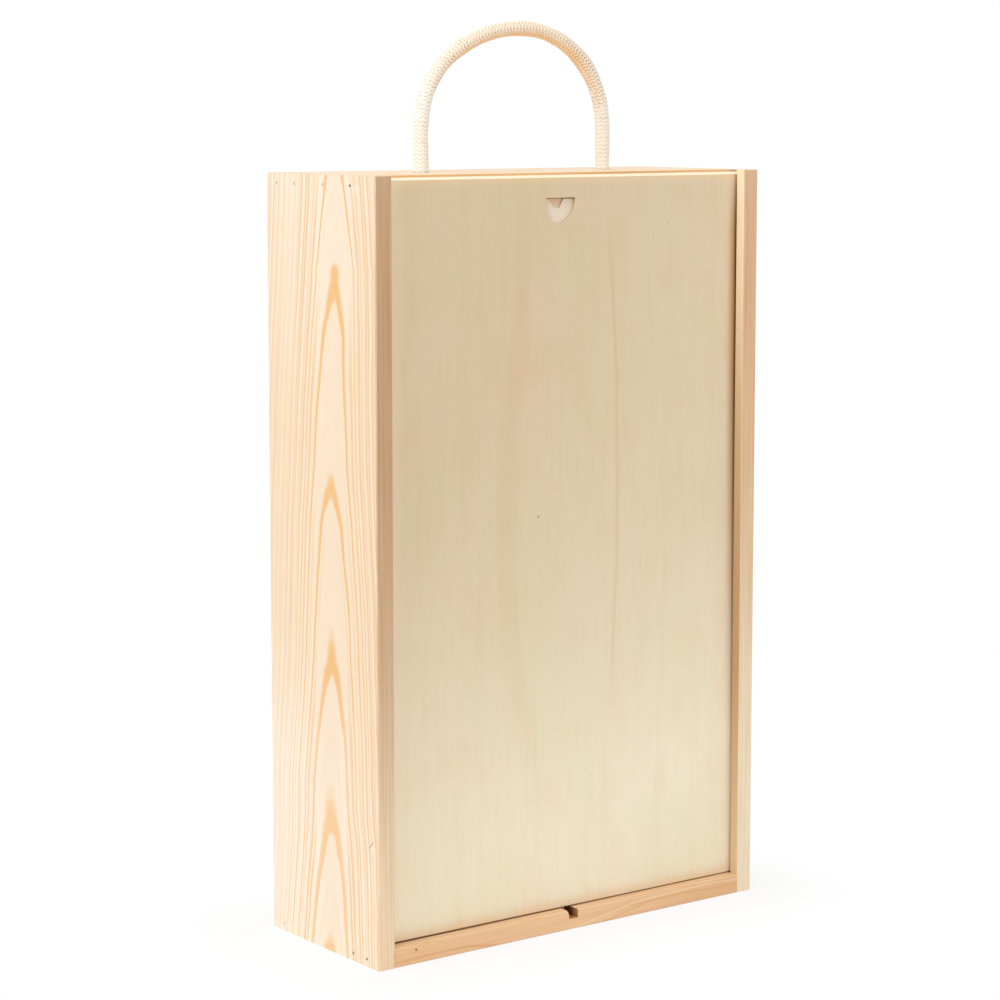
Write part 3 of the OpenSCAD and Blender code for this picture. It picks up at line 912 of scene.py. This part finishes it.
def lid_marks(wood, x, y, z, facing):
    """Painted light and shade on the lid's edges, foot and upper bevel, and the layers cut by
    its finger pull.
    """
    depth = y - LID_FRONT
    in_front = 1 - wood.step(depth, 3.4, 3.6)
    # Painted shade by height: a shadow of the right lip on the lid, and shade where its edges
    # run in the grooves.
    mark_level = wood.follow(z, GROOVE_SHADE_HEIGHTS)
    lip_shadow = wood.step(x, INNER_X - 5.5, INNER_X - 0.2) * mark_level
    groove = wood.step(wood.size(x), INNER_X - 0.4, INNER_X + 0.4) * mark_level
    # Painted highlights along the left edge of the lid.
    painted_left_light = 1 - wood.step(x, 2.5 - INNER_X, 12 - INNER_X)
    rim = 1 - wood.step(x, 1.8 - INNER_X, 3.0 - INNER_X)
    # Painted shade at the foot of the lid and in the gap under it, darkest at the left.
    foot = 1 - wood.step(z, LID_FOOT, LID_FOOT + 7)
    gap_shade = (1 - wood.step(z, LID_FOOT + 0.15, LID_FOOT + 0.5)) * wood.follow(x, GAP_SHADE_ALONG)
    # A painted highlight on the upper bevel.
    bevel = wood.step(z, LID_TOP - 1.3, LID_TOP - 1.1) * wood.step(facing[2], 0.4, 0.6)
    warm_top = wood.step(z, LID_TOP - 6, LID_TOP - 1.2)
    pull = wood.within(x - PULL_X, -PULL_W / 2 - 0.5, PULL_W / 2 + 0.5)
    pull = pull * wood.within(z, PULL_TOP - PULL_H - 0.5, PULL_TOP + 0.1)
    pull = pull * wood.step(depth, 0.02, 0.1) * in_front
    deep = wood.step(depth, 1.95, 2.3)
    wall = 1 - wood.step(facing[1], 0.8, 0.95)
    # A painted shadow under the top wall of the pull.
    pull_top_shadow = wood.step(z, PULL_TOP - 0.75, PULL_TOP - 0.55)
    speck = wood.spot(x, z, (-16.8, 199.8), 0.7) * in_front
    return [
        (painted_left_light * 0.35, sRGB(255, 240, 206)), (rim * 0.6, sRGB(255, 244, 206)),
        (lip_shadow * 0.75, sRGB(186, 136, 84)), (groove * 0.8, GROOVE_SHADE_BROWN),
        (foot * 0.3, sRGB(226, 182, 126)), (gap_shade, sRGB(132, 66, 18)),
        (warm_top * 0.3, sRGB(255, 214, 160)),
        (bevel, sRGB(255, 240, 208)), (pull, sRGB(240, 222, 200)),
        (pull * deep, sRGB(242, 206, 174)), (pull * wall, sRGB(206, 186, 150)),
        (pull * pull_top_shadow * 0.7, sRGB(196, 164, 124)), (speck * 0.7, SHADE)]


# %% [markdown]
# The three sheets
#
# All the sheets share one veneer. The lid and the back add faint growth lines,
# each with its route as points of height and distance from the middle, its
# width and its strength. The lid also has its marks, and the back and the
# divider show other parts of the same noise.

# %% Sheets
SHEET_T, DIVIDER_T = 4.0, 5.0
veneer = {
    "dark": sRGB(226, 204, 171), "light": sRGB(253, 240, 215),
    "green": sRGB(246, 252, 240), "pink": sRGB(255, 246, 240), "streak": sRGB(248, 240, 226),
    "line": sRGB(244, 222, 188), "lines": [], "lean": 0.0, "marks": no_marks,
    # Painted light: these stops make a sheet pale at its foot and darker at its top.
    "tone": [(0, 1), (50, 0.95), (90, 0.75), (130, 0.5), (180, 0.28), (240, 0.12), (360, 0.02)]}
lid_sheet = dict(
    veneer, grain=lambda x, y, z: (x, y - LID_FRONT, z), seed=0.0, thick=SHEET_T, face_axis=1,
    lean=0.0018, marks=lid_marks, lines=[
        ([(60, -18), (125, -29), (171, -33), (234, -34), (276, -29), (350, -24)], 9.0, 0.2),
        ([(90, 27), (150, 29), (192, 31), (234, 30), (276, 29), (350, 25)], 2.0, 0.36)])
back_sheet = dict(
    veneer, grain=lambda x, y, z: (x, y - (HALF_D - SHEET_T), z), seed=300.0, thick=SHEET_T,
    face_axis=1, lines=[
        ([(0, 40), (120, 46), (250, 38), (360, 44)], 2.5, 0.25),
        ([(0, -34), (140, -30), (250, -36), (360, -31)], 7.0, 0.2),
        ([(0, -62), (110, -58), (230, -64), (360, -60)], 2.0, 0.2)])
divider_sheet = dict(
    veneer, grain=lambda x, y, z: (y, x + DIVIDER_T / 2, z), seed=600.0, thick=DIVIDER_T,
    face_axis=0)
for name, sheet in (("lid", lid_sheet), ("back_panel", back_sheet), ("divider", divider_sheet)):
    dress(plywood("plywood_" + name, sheet), name)
    print(name, "is finished")

# %% [markdown]
# Steel
#
# The brads and pins are bright drawn steel, dulled by handling. Small spots of
# a darker grey and a roughness that varies keep them from looking like chrome.
# The heads away from the front edge are filled with pale dust of the sanding.

# %% Steel finish
steel = Finish("steel", roughness=0.4, specular=0.5)
sx, sy, sz = steel.place()
spots = steel.step(steel.noise(sx / 0.4, sy / 0.4, sz / 0.4), -0.2, 0.3)
grey = steel.mix(spots, sRGB(150, 146, 140), sRGB(96, 90, 84))
mark_level = steel.within(sy, -18, 42, 4) * 0.9
steel.colour(steel.mix(mark_level, grey, sRGB(255, 236, 208)))
steel.put(0.35 + mark_level * 0.4 + spots * 0.2, steel.shader.inputs["Roughness"])
steel.put(0.9 - mark_level, steel.shader.inputs["Metallic"])
nail_rows = [n for n in nodes if n.startswith("brads_") or n == "back_pins"]
dress(steel, *nail_rows)
print("steel on", len(nail_rows), "rows of nails")

# %% [markdown]
# Close the lesson
#
# The size of the finished model, with its soft rope, is printed in metres.

# %% Sizes and finish
low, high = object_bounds()
print("visual size in metres:", [round(b - a, 4) for a, b in zip(low, high)])
